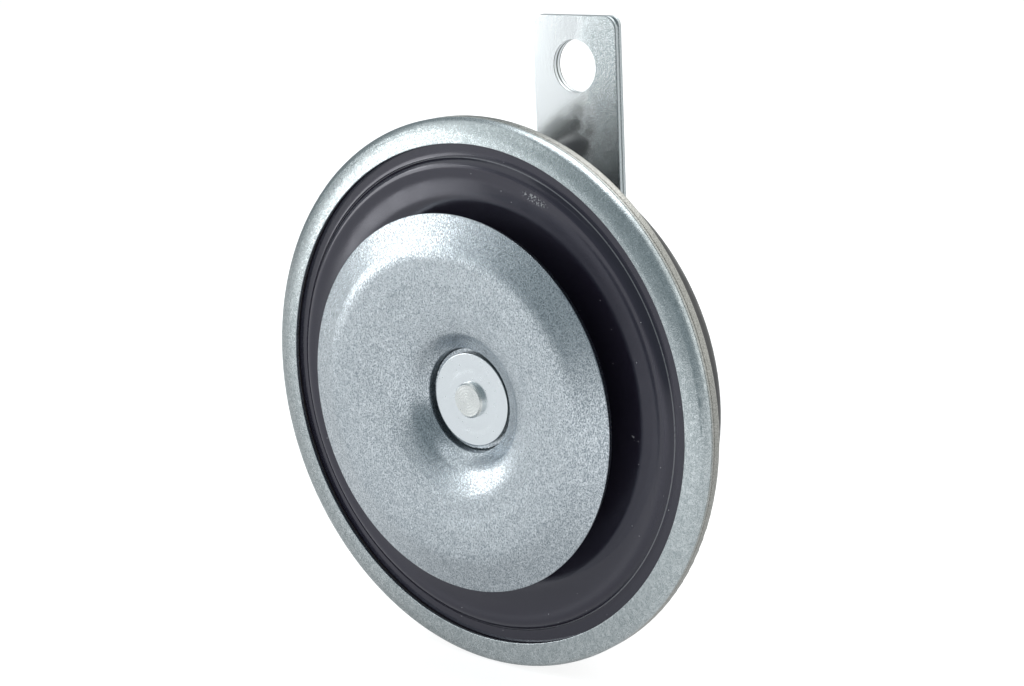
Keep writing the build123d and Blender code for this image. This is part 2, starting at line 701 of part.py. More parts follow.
def blade_terminal(side):
    """Flat foot under the rivet and a 6.3 mm blade that stands off to the back at its lower edge."""
    x = side * TERMINAL_PITCH / 2
    foot_bottom = terminal_z - FOOT_LENGTH / 2
    foot = span(x - BLADE_WIDTH / 2, x + BLADE_WIDTH / 2, foot_bottom, foot_bottom + FOOT_LENGTH)
    foot -= Pos(x, terminal_z) * Circle(TERMINAL_RIVET_R + RIVET_GAP)
    blade_end = base_back_y + BLADE_T + BLADE_LENGTH
    half = BLADE_WIDTH / 2
    blade_outline = Polyline(
        (x - half, base_back_y),
        (x + half, base_back_y),
        (x + half, blade_end - BLADE_NOSE),
        (x + half - BLADE_NOSE, blade_end),
        (x - half + BLADE_NOSE, blade_end),
        (x - half, blade_end - BLADE_NOSE),
        close=True,
    )
    blade_face = make_face(blade_outline) - Pos(x, blade_end - BLADE_HOLE_INSET) * Circle(BLADE_HOLE_R)
    blade = extrude(Plane.XY.offset(foot_bottom) * blade_face, amount=BLADE_T)
    return plate(foot, base_back_y, BLADE_T) + blade


def terminal_rivet(side):
    x = side * TERMINAL_PITCH / 2
    outer_y = base_back_y + BLADE_T
    shank = rod(x, terminal_z, TERMINAL_RIVET_R, inner_plate_y, outer_y)
    inner_head = rod(x, terminal_z, TERMINAL_HEAD_R, inner_plate_y - RIVET_HEAD_T, inner_plate_y)
    outer_head = rod(x, terminal_z, TERMINAL_HEAD_R, outer_y, outer_y + RIVET_HEAD_T)
    return shank + inner_head + outer_head


# ---- Resistor and inner wires -------------------------------------------------------------------------------

solder_x = stack_x                                    # the tail's middle
solder_z = tail_z + SOLDER_INSET
terminal_head_y = inner_plate_y - RIVET_HEAD_T


def spark_resistor():
    """Wire-ended resistor from the spring's tail to the fixed bracket."""
    y = spring_y - RESISTOR_R
    z = tail_z - RESISTOR_DROP
    bracket_lead_x = contact_x - WIRE_R
    middle_x = (solder_x + bracket_lead_x) / 2
    body = Pos(middle_x, y, z) * Cylinder(RESISTOR_R, RESISTOR_LENGTH, rotation=(0, 90, 0))
    body = fillet(body.edges().filter_by(GeomType.CIRCLE), RESISTOR_EDGE_R)
    lead_root = RESISTOR_LENGTH / 2 - WIRE_ROOT
    tail_lead = [
        (middle_x - lead_root, y, z),
        (solder_x, y, z),
        (solder_x, y, solder_z),
        (solder_x, spring_y, solder_z),
    ]
    bracket_middle_y = bracket_y + BRACKET_T / 2
    bracket_lead = [
        (middle_x + lead_root, y, z),
        (bracket_lead_x, y, z),
        (bracket_lead_x, bracket_middle_y, z),
        (bracket_lead_x, bracket_middle_y, -BRACKET_WIDTH / 2),
    ]
    return body + wire(tail_lead, WIRE_BEND) + wire(bracket_lead, WIRE_BEND)


def lead_coil_terminal():
    """Start of the winding, up through the yoke plate and down to the left terminal."""
    x, z = coil_start
    terminal_x = -TERMINAL_PITCH / 2
    points = [
        (x, DISH_FLOOR_Y + BOBBIN_WALL, z),
        (x, yoke_y - LEAD_LIFT, z),
        (terminal_x, yoke_y - LEAD_LIFT, terminal_z),
        (terminal_x, terminal_head_y, terminal_z),
    ]
    return wire(points, LEAD_BEND)


def lead_coil_contact():
    """End of the winding, up through the yoke plate and across to the fixed bracket."""
    x, z = coil_end
    y = bracket_y + BRACKET_T / 2
    points = [
        (x, DISH_FLOOR_Y + BOBBIN_WALL, z),
        (x, y, z),
        (adjuster_x + ear_half, y, z),
    ]
    return wire(points, LEAD_BEND)


def lead_spring_terminal():
    """From the spring's tail, along the dish's wall, to the right terminal."""
    terminal_x = TERMINAL_PITCH / 2
    tail_lead_y = spring_y + SPRING_T + LEAD_STEP
    y = terminal_head_y - LEAD_RISE
    route_r = dish_r - PAN_SHEET - LEAD_WALL_GAP
    low_x, low_z = round_axis(route_r, 231)
    last_x, last_z = round_axis(route_r, 267)
    points = [
        (solder_x, spring_y + SPRING_T, solder_z),
        (solder_x, tail_lead_y, solder_z),
        (solder_x + LEAD_STEP, tail_lead_y, tail_z - 2 * RESISTOR_DROP),
        (low_x, y, low_z),
        (last_x, y, last_z),
        (terminal_x, y, terminal_z),
        (terminal_x, terminal_head_y, terminal_z),
    ]
    return wire(points, (0.2, 2.0, 6.0, 4.0, 1.0))


# ---- Strap and hardware -------------------------------------------------------------------------------------


def strap_leaf(front_y, corner_r):
    """One leaf of the laminated strap: bolt hole at the top, stud hole at the foot."""
    outline = span(-STRAP_WIDTH / 2, STRAP_WIDTH / 2, STRAP_FOOT_Z, strap_top_z)
    corners = outline.vertices().sort_by(Axis.Y)
    outline = fillet(corners[-2:], corner_r)
    outline = fillet(outline.vertices().sort_by(Axis.Y)[:2], FOOT_CORNER_R)
    outline -= Pos(0, hole_z) * Circle(BOLT_HOLE_R)
    outline -= Circle(STUD_R + STUD_CLEARANCE)
    leaf = plate(outline, front_y, LEAF_T)
    outside = [edge for edge in leaf.edges() if is_rim_edge(edge, front_y)]
    return fillet(outside, LEAF_EDGE_R)


def is_rim_edge(edge, front_y):
    """True for the edges round the outline of both faces of a leaf, and not for those of its holes."""
    box = edge.bounding_box()
    flat = box.size.Y < 0.01
    hole = edge.geom_type == GeomType.CIRCLE and box.size.X >= 2 * STUD_R
    return flat and not hole


def flat_washer():
    return ring(FLAT_WASHER_R, STUD_R + STUD_CLEARANCE, strap_back_y, FLAT_WASHER_T)


def spring_washer():
    washer = ring(SPRING_WASHER_R, STUD_R + STUD_CLEARANCE, spring_washer_y, SPRING_WASHER_T)
    split = Rot(0, 0, SPLIT_ANGLE) * Pos(SPRING_WASHER_R, 0) * Rectangle(2 * SPRING_WASHER_R, SPRING_WASHER_SPLIT)
    return washer - plate(split, spring_washer_y, SPRING_WASHER_T)


def mounting_nut():
    """Hexagon nut with turned corners."""
    corner_r = NUT_ACROSS_FLATS / sqrt(3)
    hexagon = plate(RegularPolygon(corner_r, 6), nut_y, NUT_T)
    drop = (corner_r - NUT_ACROSS_FLATS / 2) * NUT_CORNER_SLOPE
    face_r = NUT_ACROSS_FLATS / 2
    turned_body = turned(
        (0, nut_y),
        (face_r, nut_y),
        (corner_r, nut_y + drop),
        (corner_r, nut_y + NUT_T - drop),
        (face_r, nut_y + NUT_T),
        (0, nut_y + NUT_T),
    )
    return (hexagon & turned_body) - rod(0, 0, STUD_R + RIVET_GAP, nut_y, nut_y + NUT_T)


# ---- Write one file for each piece --------------------------------------------------------------------------

pieces = {
    "rim_ring": rim_ring(),
    "front_gasket": front_gasket(),
    "diaphragm": diaphragm(),
    "rear_gasket": rear_gasket(),
    "tone_disc": tone_disc(),
    "front_washer": front_washer(),
    "disc_spacer": disc_spacer(),
    "backing_washer": backing_washer(),
    "armature": armature(),
    "housing_pan": housing_pan(),
    "pole_core": pole_core(),
    "yoke_plate": yoke_plate(),
    "coil_bobbin": coil_bobbin(),
    "coil_winding": coil_winding(),
    "insulator_rear": insulator_rear(),
    "insulator_middle": insulator_middle(),
    "insulator_front": insulator_front(),
    "clamp_plate": clamp_plate(),
    "breaker_rivets": breaker_rivets(),
    "breaker_spring": breaker_spring(),
    "breaker_arm": breaker_arm(),
    "arm_rivets": arm_rivets(),
    "moving_contact": moving_contact(),
    "contact_pusher": contact_pusher(),
    "fixed_contact_bracket": fixed_contact_bracket(),
    "fixed_contact": fixed_contact(),
    "adjuster_bush": adjuster_bush(),
    "adjusting_screw": adjusting_screw(),
    "terminal_base": terminal_base(),
    "terminal_insulator": terminal_insulator(),
    "blade_terminal_left": blade_terminal(-1),
    "blade_terminal_right": blade_terminal(1),
    "terminal_rivet_left": terminal_rivet(-1),
    "terminal_rivet_right": terminal_rivet(1),
    "spark_resistor": spark_resistor(),
    "lead_coil_terminal": lead_coil_terminal(),
    "lead_coil_contact": lead_coil_contact(),
    "lead_spring_terminal": lead_spring_terminal(),
    "strap_front_leaf": strap_leaf(PAN_BACK_Y, FRONT_CORNER_R),
    "strap_rear_leaf": strap_leaf(PAN_BACK_Y + LEAF_T, REAR_CORNER_R),
    "flat_washer": flat_washer(),
    "spring_washer": spring_washer(),
    "mounting_nut": mounting_nut(),
}

to_bolt_hole = Pos(0, -strap_back_y, -hole_z)
for name, piece in pieces.items():
    export_step(to_bolt_hole * piece, f"parts/{name}.step")
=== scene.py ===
"""Disc horn on its mounting strap: finishes, stage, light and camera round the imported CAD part. Metres."""
import math

import bpy
from mathutils import Matrix, Vector


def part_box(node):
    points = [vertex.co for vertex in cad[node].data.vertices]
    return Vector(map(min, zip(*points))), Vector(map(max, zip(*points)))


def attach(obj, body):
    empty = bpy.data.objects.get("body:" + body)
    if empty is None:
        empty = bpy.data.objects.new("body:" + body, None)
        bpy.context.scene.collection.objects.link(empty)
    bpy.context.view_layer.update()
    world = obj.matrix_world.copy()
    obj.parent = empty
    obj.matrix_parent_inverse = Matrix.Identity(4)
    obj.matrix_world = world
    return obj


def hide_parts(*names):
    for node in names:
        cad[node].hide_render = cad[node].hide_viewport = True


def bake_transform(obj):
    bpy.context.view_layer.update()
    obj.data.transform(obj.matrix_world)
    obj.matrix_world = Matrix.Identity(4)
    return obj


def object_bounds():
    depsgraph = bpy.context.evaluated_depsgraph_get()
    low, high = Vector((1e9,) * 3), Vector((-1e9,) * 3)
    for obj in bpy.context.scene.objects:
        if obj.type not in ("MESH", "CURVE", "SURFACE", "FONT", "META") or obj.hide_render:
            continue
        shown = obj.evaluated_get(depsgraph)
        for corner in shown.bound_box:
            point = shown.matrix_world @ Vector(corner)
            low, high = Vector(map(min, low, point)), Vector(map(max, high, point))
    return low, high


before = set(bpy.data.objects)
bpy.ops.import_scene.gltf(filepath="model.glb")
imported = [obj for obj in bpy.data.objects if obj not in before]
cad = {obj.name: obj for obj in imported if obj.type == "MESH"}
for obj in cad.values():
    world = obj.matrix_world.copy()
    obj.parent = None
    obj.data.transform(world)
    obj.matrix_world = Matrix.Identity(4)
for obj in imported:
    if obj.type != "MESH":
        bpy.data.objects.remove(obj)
cad_low, cad_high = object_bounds()

# ---- Crimp ring -------------------------------------------------------------------------------------------
# One pressing of hot-dip galvanised sheet, crimped round the clamped margin. The zinc has frozen in small
# pale crystals. Its side wall is painted a duller, browner grey, a painted reflection of the warm
# surroundings it faces.

MM = 0.001

# the horn's axis, which runs along Y through the middle of the ring
ring_low, ring_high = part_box("rim_ring")
AXIS_X = (ring_low.x + ring_high.x) / 2
AXIS_Z = (ring_low.z + ring_high.z) / 2


def new_finish(name, colour, metallic, roughness):
    """A material whose Principled shader starts with plain values. Returns it, its tree and the shader."""
    material = bpy.data.materials.new(name)
    material.use_nodes = True
    tree = material.node_tree
    shader = next(n for n in tree.nodes if n.type == "BSDF_PRINCIPLED")
    shader.inputs["Base Color"].default_value = (*colour, 1)
    shader.inputs["Metallic"].default_value = metallic
    shader.inputs["Roughness"].default_value = roughness
    return material, tree, shader


def add(tree, kind, inputs=None, **settings):
    """Adds a node. Inputs are values or the sockets that feed them."""
    made = tree.nodes.new(kind)
    for key, value in settings.items():
        setattr(made, key, value)
    for key, value in (inputs or {}).items():
        if isinstance(value, bpy.types.NodeSocket):
            tree.links.new(value, made.inputs[key])
        else:
            made.inputs[key].default_value = value
    return made


def maths(tree, operation, *values):
    """A Math node's result."""
    return add(tree, "ShaderNodeMath", dict(enumerate(values)), operation=operation).outputs[0]


def fade(tree, value, low, high, low_result=0.0, high_result=1.0):
    """value taken from low..high to the two results, smoothly."""
    inputs = {"Value": value, "From Min": low, "From Max": high, "To Min": low_result, "To Max": high_result}
    return add(tree, "ShaderNodeMapRange", inputs, interpolation_type="SMOOTHSTEP").outputs["Result"]


def blend_colours(tree, factor, first, second):
    """Colour between two colours or sockets."""
    mix = add(tree, "ShaderNodeMix", data_type="RGBA")
    for socket, value in ((mix.inputs[0], factor), (mix.inputs[6], first), (mix.inputs[7], second)):
        if isinstance(value, bpy.types.NodeSocket):
            tree.links.new(value, socket)
        else:
            socket.default_value = value if isinstance(value, float) else (*value, 1)
    return mix.outputs[2]


def new_group(name, inputs, outputs):
    """A shader node group with float sockets. Returns the group and its input and output nodes."""
    group = bpy.data.node_groups.new(name, "ShaderNodeTree")
    for socket, value in inputs.items():
        made = group.interface.new_socket(socket, in_out="INPUT", socket_type="NodeSocketFloat")
        made.default_value = value
    for socket in outputs:
        group.interface.new_socket(socket, in_out="OUTPUT", socket_type="NodeSocketFloat")
    return group, group.nodes.new("NodeGroupInput"), group.nodes.new("NodeGroupOutput")


def use_group(tree, group, **inputs):
    """Places a node group in a material."""
    placed = add(tree, "ShaderNodeGroup", node_tree=group)
    for key, value in inputs.items():
        placed.inputs[key.replace("_", " ")].default_value = value
    return placed


def bump(tree, height, distance, strength=1.0, under=None):
    """A normal bent by a height of that many metres at 1."""
    inputs = {"Height": height, "Distance": distance, "Strength": strength}
    if under is not None:
        inputs["Normal"] = under
    return add(tree, "ShaderNodeBump", inputs).outputs["Normal"]


def object_place(tree):
    """Place on the piece in metres, in the part's frame."""
    return add(tree, "ShaderNodeTexCoord").outputs["Object"]


def axis_part(tree, vector, axis):
    """One coordinate of a vector."""
    return add(tree, "ShaderNodeSeparateXYZ", {0: vector}).outputs[axis]


def noise(tree, place, scale, detail, roughness=0.5):
    """Soft noise from 0 to 1, with its middle at 0.5."""
    inputs = {"Vector": place, "Scale": scale, "Detail": detail, "Roughness": roughness}
    return add(tree, "ShaderNodeTexNoise", inputs).outputs["Fac"]


def from_axis(tree):
    """Distance from the horn's axis in metres, in a material."""
    seen_from_front = {0: object_place(tree), 1: (1.0, 0.0, 1.0)}
    flat = add(tree, "ShaderNodeVectorMath", seen_from_front, operation="MULTIPLY").outputs[0]
    centre = (AXIS_X, 0.0, AXIS_Z)
    return add(tree, "ShaderNodeVectorMath", {0: flat, 1: centre}, operation="DISTANCE").outputs["Value"]


def dress(node, material):
    """Gives a CAD node its material."""
    cad[node].data.materials.clear()
    cad[node].data.materials.append(material)


# zinc crystals: cells with their own shade, drawn out along the strip, and a fine tooth over them
crystals, crystal_in, crystal_out = new_group(
    "zinc_crystals", {"Cells": 900.0, "Draw": 0.5, "Tooth": 5000.0}, ("Shade", "Edge", "Grit")
)
stretch = add(crystals, "ShaderNodeCombineXYZ", {"X": 1.0, "Y": 1.0, "Z": crystal_in.outputs["Draw"]})
drawing = {0: object_place(crystals), 1: stretch.outputs[0]}
drawn = add(crystals, "ShaderNodeVectorMath", drawing, operation="MULTIPLY").outputs[0]
wander = add(crystals, "ShaderNodeTexNoise", {"Vector": drawn, "Scale": 1400.0, "Detail": 2.0})
shifting = {0: wander.outputs["Color"], "Scale": 0.6 * MM}
shift = add(crystals, "ShaderNodeVectorMath", shifting, operation="SCALE")
bent = add(crystals, "ShaderNodeVectorMath", {0: drawn, 1: shift.outputs[0]}, operation="ADD").outputs[0]
layout = {"Vector": bent, "Scale": crystal_in.outputs["Cells"]}
cells = add(crystals, "ShaderNodeTexVoronoi", layout)
borders = add(crystals, "ShaderNodeTexVoronoi", layout, feature="DISTANCE_TO_EDGE").outputs["Distance"]
tooth = noise(crystals, drawn, crystal_in.outputs["Tooth"], 2.0, 0.6)
cell_shade = add(crystals, "ShaderNodeSeparateColor", {"Color": cells.outputs["Color"]}).outputs["Red"]
crystals.links.new(cell_shade, crystal_out.inputs["Shade"])
crystals.links.new(fade(crystals, borders, 0.0, 0.12, 1.0, 0.0), crystal_out.inputs["Edge"])
crystals.links.new(fade(crystals, tooth, 0.42, 0.58), crystal_out.inputs["Grit"])

BORDER_SHARE = 0.22


def mix_grain(tree, grain, cell_share):
    """One shade from 0 to 1 out of the crystals, their darker borders and the fine tooth over them."""
    cells_part = maths(tree, "MULTIPLY", grain.outputs["Shade"], cell_share)
    tooth_part = maths(tree, "MULTIPLY", grain.outputs["Grit"], 1.0 - cell_share)
    borders_part = maths(tree, "MULTIPLY", grain.outputs["Edge"], BORDER_SHARE)
    return maths(tree, "SUBTRACT", maths(tree, "ADD", cells_part, tooth_part), borders_part)


RING_PALE = (0.75, 0.805, 0.83)
RING_DEEP = (0.41, 0.465, 0.485)
RING_SMOOTHEST = 0.22
RING_ROUGHEST = 0.34
RING_GRAIN_HEIGHT = 0.014 * MM
RING_LEAN = 0.38              # slope of the front face, which leans outward; given by shading alone
RING_WALL_REFLECTION_START = 1.3 * MM     # behind the front face
RING_WALL_REFLECTION_END = 2.4 * MM
# painted reflection: the duller, browner grey that the side wall is painted, for the warm surroundings it
# faces
RING_WALL_REFLECTION = (0.46, 0.455, 0.43)
RING_WALL_REFLECTION_DEEP = (0.31, 0.31, 0.29)

ring_finish, tree, shader = new_finish("galvanised_rim", RING_PALE, 1.0, 0.4)
grain = use_group(tree, crystals, Cells=1700.0, Draw=0.8, Tooth=4800.0)
mottle = mix_grain(tree, grain, 0.40)
sheet_colour = blend_colours(tree, mottle, RING_DEEP, RING_PALE)
depth = axis_part(tree, object_place(tree), "Y")
# the side wall takes that painted reflection from here back
wall = fade(tree, depth, ring_low.y + RING_WALL_REFLECTION_START, ring_low.y + RING_WALL_REFLECTION_END)
wall_reflection_colour = blend_colours(tree, grain.outputs["Grit"], RING_WALL_REFLECTION_DEEP, RING_WALL_REFLECTION)
tree.links.new(blend_colours(tree, wall, sheet_colour, wall_reflection_colour), shader.inputs["Base Color"])
tree.links.new(fade(tree, mottle, 0.1, 0.9, RING_ROUGHEST, RING_SMOOTHEST), shader.inputs["Roughness"])
lean = bump(tree, maths(tree, "MULTIPLY", from_axis(tree), -RING_LEAN / MM), 1.0 * MM)
tree.links.new(bump(tree, mottle, RING_GRAIN_HEIGHT, under=lean), shader.inputs["Normal"])
dress("rim_ring", ring_finish)

# ---- Tone disc --------------------------------------------------------------------------------------------
# Blanked and dished from galvanised strip. The strip was rolled up and down the disc as it hangs, so its
# zinc crystals are small and drawn out that way.

DISC_PALE = (0.78, 0.835, 0.885)
DISC_DEEP = (0.30, 0.345, 0.385)
DISC_SMOOTHEST = 0.18
DISC_ROUGHEST = 0.30
DISC_GRAIN_HEIGHT = 0.0105 * MM
DISH_START_R = 12.4 * MM      # shading alone runs the dish out flatter between these radii
DISH_END_R = 21.8 * MM
DISH_RISE = 2.4 * MM
NECK_START_R = 9.4 * MM       # and steepens its neck beside the washer
NECK_END_R = 13.6 * MM
NECK_DROP = 0.85 * MM

disc_finish, tree, shader = new_finish("galvanised_disc", DISC_PALE, 1.0, 0.35)
grain = use_group(tree, crystals, Cells=2300.0, Draw=0.55, Tooth=5800.0)
mottle = mix_grain(tree, grain, 0.22)
tree.links.new(blend_colours(tree, mottle, DISC_DEEP, DISC_PALE), shader.inputs["Base Color"])
tree.links.new(fade(tree, mottle, 0.1, 0.9, DISC_ROUGHEST, DISC_SMOOTHEST), shader.inputs["Roughness"])
radius = from_axis(tree)
shallow = fade(tree, radius, DISH_START_R, DISH_END_R, DISH_RISE / MM, 0.0)
steep = fade(tree, radius, NECK_START_R, NECK_END_R, -NECK_DROP / MM, 0.0)
drawn_in = bump(tree, maths(tree, "ADD", steep, shallow), 1.0 * MM)
tree.links.new(bump(tree, mottle, DISC_GRAIN_HEIGHT, under=drawn_in), shader.inputs["Normal"])
dress("tone_disc", disc_finish)

# ---- Front washer -----------------------------------------------------------------------------------------
# Blanked steel with a bright zinc plate, bluish and nearly white. The riveting tool has left a soft ring in
# its face. Its outer edge is painted dark, a painted shade of the gap round it.

WASHER_BORE_R = 3.05 * MM
WASHER_RING_R = 5.8 * MM      # the tool's ring
WASHER_RING_HALF = 0.95 * MM
WASHER_RING_DEPTH = 0.05 * MM
WASHER_EDGE_R = 0.2 * MM
# painted shade of the gap round the washer's outer edge
WASHER_EDGE_SHADE = (0.10, 0.115, 0.12)
PLATE_COLOUR = (0.80, 0.85, 0.89)
FACE_STEPS = 48
CORNER_STEPS = 6


def turned_piece(name, profile, material, body, bend=None, steps=160):
    """A smooth ring swept round the horn's axis from a closed profile of (radius, y) points. With bend given,
    it is baked in place and joined to no body; the start and end places in bend are not used."""
    count = len(profile)
    points, faces = [], []
    for step in range(steps):
        angle = 2 * math.pi * step / steps
        for radius, y in profile:
            points.append((AXIS_X + radius * math.cos(angle), y, AXIS_Z + radius * math.sin(angle)))
        here, there = step * count, (step + 1) % steps * count
        for i in range(count):
            j = (i + 1) % count
            faces.append((here + i, here + j, there + j, there + i))
    mesh = bpy.data.meshes.new(name)
    mesh.from_pydata(points, [], faces)
    mesh.shade_smooth()
    mesh.materials.append(material)
    piece = bpy.data.objects.new(name, mesh)
    bpy.context.scene.collection.objects.link(piece)
    bpy.context.view_layer.objects.active = piece
    piece.select_set(True)
    bpy.ops.object.mode_set(mode="EDIT")
    bpy.ops.mesh.select_all(action="SELECT")
    bpy.ops.mesh.normals_make_consistent(inside=False)
    bpy.ops.object.mode_set(mode="OBJECT")
    piece.select_set(False)
    if bend:
        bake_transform(piece)
    else:
        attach(piece, body)
    return piece


washer_low, washer_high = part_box("front_washer")
washer_r = (washer_high.x - washer_low.x) / 2
face_width = washer_r - WASHER_EDGE_R - WASHER_BORE_R
washer_profile = []
for step in range(FACE_STEPS + 1):
    radius = WASHER_BORE_R + face_width * step / FACE_STEPS
    from_ring = min(1.0, abs(radius - WASHER_RING_R) / WASHER_RING_HALF)
    pressed = WASHER_RING_DEPTH * 0.5 * (1 + math.cos(math.pi * from_ring))
    washer_profile.append((radius, washer_low.y + pressed))
for step in range(1, CORNER_STEPS + 1):
    angle = math.pi / 2 * step / CORNER_STEPS
    corner_r = washer_r - WASHER_EDGE_R * (1 - math.sin(angle))
    washer_profile.append((corner_r, washer_low.y + WASHER_EDGE_R * (1 - math.cos(angle))))
washer_profile += [(washer_r, washer_high.y), (WASHER_BORE_R, washer_high.y)]

washer_finish, tree, shader = new_finish("bright_zinc_washer", PLATE_COLOUR, 1.0, 0.24)
# the outer edge is painted dark: painted shade of the gap between the washer and the disc's pocket
edge_shade = fade(tree, from_axis(tree), washer_r - 0.10 * MM, washer_r - 0.03 * MM)
tree.links.new(blend_colours(tree, edge_shade, PLATE_COLOUR, WASHER_EDGE_SHADE), shader.inputs["Base Color"])
cloud = noise(tree, object_place(tree), 700.0, 3.0)
tree.links.new(fade(tree, cloud, 0.3, 0.7, 0.18, 0.28), shader.inputs["Roughness"])
washer = turned_piece(
    "washer_with_tool_ring", washer_profile, washer_finish, "vibrating_group"
)
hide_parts("front_washer")
dress("front_washer", washer_finish)

# ---- Diaphragm --------------------------------------------------------------------------------------------
# Spring-steel sheet sprayed satin black. Its margin is clamped and its hub moves with the armature, so the
# sheet bends between the two. The paint has caught some dust and is rubbed through in two short scuffs.

SHOULDER_START_R = 36.8 * MM  # the ridge's soft shoulder, rounded by shading alone
SHOULDER_END_R = 42.0 * MM
SHOULDER_DROP = 1.05 * MM
PEEL_HEIGHT = 0.006 * MM
CREASE_R = 44.75 * MM         # fold at the foot of the ridge, drawn with a thin painted highlight
BLACK_SHEET = (0.021, 0.018, 0.031)
# bare metal for dust and scuffs, and the colour of the painted highlight along the crease
BARE_SHEET_AND_GLINT = (0.52, 0.53, 0.55)
DUST_RARITY = 0.62
DUST_SIZE = 0.05
SCUFFS = (  # middle of each scuff from the axis in x and z, half length and half width, in millimetres
    (16.3, 38.5, 3.4, 0.50),
    (36.3, -2.4, 1.1, 0.22),
)
SAMPLE = 0.25 * MM            # step between the radii at which the sheet is measured
PROBE_ANGLE = 0.7             # direction in which they run out from the axis, clear of any feature
PROBE_DISTANCE = 0.3
BEND_START_DEPTH = 2.0 * MM   # behind the ring's face, inside the clamped margin
BEND_END_DEPTH = 0.4 * MM     # in front of the sheet's rear, at the hub

black_sheet, tree, shader = new_finish("black_spring_sheet", BLACK_SHEET, 0.0, 0.36)
shader.inputs["Specular IOR Level"].default_value = 0.7
shader.inputs["Specular Tint"].default_value = (0.84, 0.86, 1.0, 1.0)
shader.inputs["Coat Weight"].default_value = 0.30
shader.inputs["Coat Roughness"].default_value = 0.08
spot = object_place(tree)
specks = add(tree, "ShaderNodeTexVoronoi", {"Vector": spot, "Scale": 560.0, "Randomness": 1.0})
speck_shade = add(tree, "ShaderNodeSeparateColor", {"Color": specks.outputs["Color"]}).outputs["Red"]
lone = maths(tree, "GREATER_THAN", speck_shade, DUST_RARITY)
small = maths(tree, "LESS_THAN", specks.outputs["Distance"], DUST_SIZE)
dust = maths(tree, "MULTIPLY", maths(tree, "MULTIPLY", lone, small), 0.8)
scuffed = 0.0
spot_x = axis_part(tree, spot, "X")
spot_z = axis_part(tree, spot, "Z")
ragged = noise(tree, spot, 2200.0, 4.0)
for x, z, length, width in SCUFFS:
    along = maths(tree, "DIVIDE", maths(tree, "SUBTRACT", spot_x, AXIS_X + x * MM), length * MM)
    across = maths(tree, "DIVIDE", maths(tree, "SUBTRACT", spot_z, AXIS_Z + z * MM), width * 2 * MM)
    tilted = maths(tree, "ADD", across, maths(tree, "MULTIPLY", along, 1.1))
    reach = maths(tree, "ADD", maths(tree, "MULTIPLY", along, along), maths(tree, "MULTIPLY", tilted, tilted))
    mark = maths(tree, "MULTIPLY", fade(tree, reach, 0.3, 1.0, 1.0, 0.0), fade(tree, ragged, 0.52, 0.58))
    scuffed = maths(tree, "MAXIMUM", scuffed, mark)
dust_wear_and_glint = maths(tree, "MAXIMUM", dust, maths(tree, "MULTIPLY", scuffed, 0.7))
# a thin light line painted along the crease: painted highlight of its edge catching the light
from_crease = maths(tree, "ABSOLUTE", maths(tree, "SUBTRACT", from_axis(tree), CREASE_R))
crease_line = fade(tree, from_crease, 0.03 * MM, 0.11 * MM, 1.0, 0.0)
painted_crease_glint = maths(tree, "MULTIPLY", crease_line, fade(tree, ragged, 0.22, 0.42))
dust_wear_and_glint = maths(tree, "MAXIMUM", dust_wear_and_glint, maths(tree, "MULTIPLY", painted_crease_glint, 0.45))
tree.links.new(blend_colours(tree, dust_wear_and_glint, BLACK_SHEET, BARE_SHEET_AND_GLINT), shader.inputs["Base Color"])
haze = noise(tree, spot, 160.0, 5.0)
tree.links.new(fade(tree, haze, 0.3, 0.7, 0.15, 0.25), shader.inputs["Roughness"])
orange_peel = noise(tree, spot, 1500.0, 1.0)
slope = fade(tree, from_axis(tree), SHOULDER_START_R, SHOULDER_END_R, 1.0, 0.0)
shoulder = bump(tree, slope, SHOULDER_DROP)
tree.links.new(bump(tree, orange_peel, PEEL_HEIGHT, under=shoulder), shader.inputs["Normal"])


def surface_y(node, radius, side):
    """Y of a turned CAD piece's surface at a radius, met from the front (side -1) or from behind (1)."""
    x = AXIS_X + radius * math.cos(PROBE_ANGLE)
    z = AXIS_Z + radius * math.sin(PROBE_ANGLE)
    into = cad[node].matrix_world.inverted()
    start = into @ Vector((x, side * PROBE_DISTANCE, z))
    met, spot, _, _ = cad[node].ray_cast(start, (into.to_3x3() @ Vector((0, -side, 0))).normalized())
    return (cad[node].matrix_world @ spot).y if met else None


sheet_low, sheet_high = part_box("diaphragm")
sheet_r = (sheet_high.x - sheet_low.x) / 2
radii = [step * SAMPLE for step in range(1, int(sheet_r / SAMPLE) + 1)]
radii = [radius for radius in radii if surface_y("diaphragm", radius, -1) is not None]
radii.append(sheet_r - 0.01 * MM)
faces = {}
for side in (-1, 1):
    ys = [surface_y("diaphragm", radius, side) for radius in radii]
    softened = [ys[0]] + [(ys[i - 1] + 2 * ys[i] + ys[i + 1]) / 4 for i in range(1, len(ys) - 1)] + [ys[-1]]
    faces[side] = list(zip(radii, softened))
sheet = turned_piece(
    "diaphragm_sheet",
    faces[-1] + faces[1][::-1],
    black_sheet,
    "vibrating_group",
    bend=((AXIS_X, ring_low.y + BEND_START_DEPTH, AXIS_Z), (AXIS_X, sheet_high.y - BEND_END_DEPTH, AXIS_Z)),
    steps=200,
)
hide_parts("diaphragm")
dress("diaphragm", black_sheet)

# ---- Disc spacer and backing washer -----------------------------------------------------------------------
# Plain blanked steel rings riveted between the disc, the diaphragm and the armature. They keep a dull,
# faintly oily mill surface.


def plain_finish(name, colour, metallic, smoothest, roughest, scale, detail=4.0):
    """A material of one colour whose roughness wanders between two values."""
    material, tree, shader = new_finish(name, colour, metallic, (smoothest + roughest) / 2)
    cloud = noise(tree, object_place(tree), scale, detail)
    tree.links.new(fade(tree, cloud, 0.3, 0.7, smoothest, roughest), shader.inputs["Roughness"])
    return material, tree, shader


plain_steel, tree, shader = plain_finish("plain_steel", (0.52, 0.52, 0.51), 1.0, 0.28, 0.42, 900.0)
dress("disc_spacer", plain_steel)
dress("backing_washer", plain_steel)

# ---- Armature and pole core -------------------------------------------------------------------------------
# Soft iron bars turned in a lathe, which has left fine rings on their end faces. The core's tail is
# threaded and carries the strap.

TURNING_PITCH = 0.55 * MM
STUD_PITCH = 1.25 * MM


